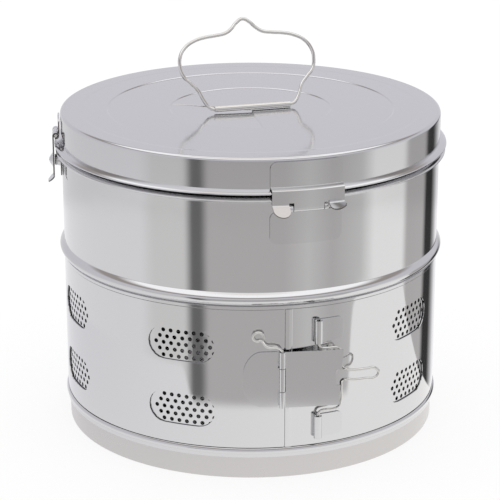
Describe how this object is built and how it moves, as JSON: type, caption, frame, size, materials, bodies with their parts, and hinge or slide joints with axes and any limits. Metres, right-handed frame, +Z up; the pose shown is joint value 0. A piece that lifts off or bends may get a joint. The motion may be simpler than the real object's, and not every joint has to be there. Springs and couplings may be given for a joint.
{
  "type": "sterilization drum",
  "caption": "Round steel drum for steam sterilizing dressings, with a hinged lid and wire handle, perforated wall windows, a turning vent band and an over-centre band clamp",
  "frame": {"origin": "at the floor it stands on, in the middle of its footprint with the hinge and the clamp; the drum's own axis stands 4.5 mm behind it", "axes": "+Z up, along the drum's axis; -Y towards the front, where the lid hinge and the band clamp are; +X to the right as seen from the front"},
  "size_m": [0.2972, 0.2997, 0.3004],
  "materials": {
    "drum_steel": "polished stainless sheet",
    "lid_steel": "polished stainless sheet",
    "foot_steel": "satin stainless sheet",
    "fitting_steel": "polished stainless sheet",
    "wire_steel": "bright stainless wire",
    "band_steel": "polished stainless sheet"
  },
  "bodies": {
    "drum": {"drum_shell": "drum_steel", "drum_floor": "foot_steel", "base_ring": "foot_steel", "hinge_body_leaf": "fitting_steel", "hinge_pin": "wire_steel", "latch_stud_left": "fitting_steel", "latch_stud_right": "fitting_steel"},
    "lid": {"lid_shell": "lid_steel", "handle_tube": "fitting_steel", "hinge_lid_leaf": "fitting_steel", "latch_leaf_left": "fitting_steel", "latch_leaf_right": "fitting_steel", "latch_pin_left": "wire_steel", "latch_pin_right": "wire_steel"},
    "handle": {"lid_handle": "wire_steel"},
    "left_hasp": {"hasp_left": "fitting_steel"},
    "right_hasp": {"hasp_right": "fitting_steel"},
    "band": {"vent_band": "band_steel", "clamp_fixed_leaf": "band_steel", "clamp_hinge_pin": "wire_steel", "bail_bracket_upper": "band_steel", "bail_bracket_lower": "band_steel"},
    "plate": {"clamp_plate": "band_steel"},
    "bail": {"clamp_bail": "wire_steel"}
  },
  "joints": [
    {"name": "lid_open", "type": "hinge", "parent": "drum", "child": "lid", "pos_m": [0, -0.13955, 0.2028], "axis": [1, 0, 0], "range_deg": [0, 90]},
    {"name": "handle_swing", "type": "hinge", "parent": "lid", "child": "handle", "pos_m": [0, -0.0015, 0.2393], "axis": [1, 0, 0], "range_deg": [-64, 114]},
    {"name": "hasp_left_swing", "type": "hinge", "parent": "lid", "child": "left_hasp", "pos_m": [-0.14128, 0.0326, 0.221], "axis": [0.1951, 0.9808, 0], "range_deg": [-2, 150]},
    {"name": "hasp_right_swing", "type": "hinge", "parent": "lid", "child": "right_hasp", "pos_m": [0.14128, 0.0326, 0.221], "axis": [0.1951, -0.9808, 0], "range_deg": [-2, 150]},
    {"name": "band_turn", "type": "hinge", "parent": "drum", "child": "band", "pos_m": [0, 0.0045, 0.076], "axis": [0, 0, 1], "range_deg": [-24, 24]},
    {"name": "clamp_plate_swing", "type": "hinge", "parent": "band", "child": "plate", "pos_m": [-0.01741, -0.13734, 0.0765], "axis": [0, 0, -1], "range_deg": [0, 54]},
    {"name": "clamp_bail_swing", "type": "hinge", "parent": "band", "child": "bail", "pos_m": [0.00874, -0.13843, 0.0744], "axis": [0, 0, -1], "range_deg": [0, 90.1]}
  ],
  "couplings": [
    {"joint": "clamp_bail_swing", "follows": "clamp_plate_swing", "ratio": 1.6667}
  ]
}
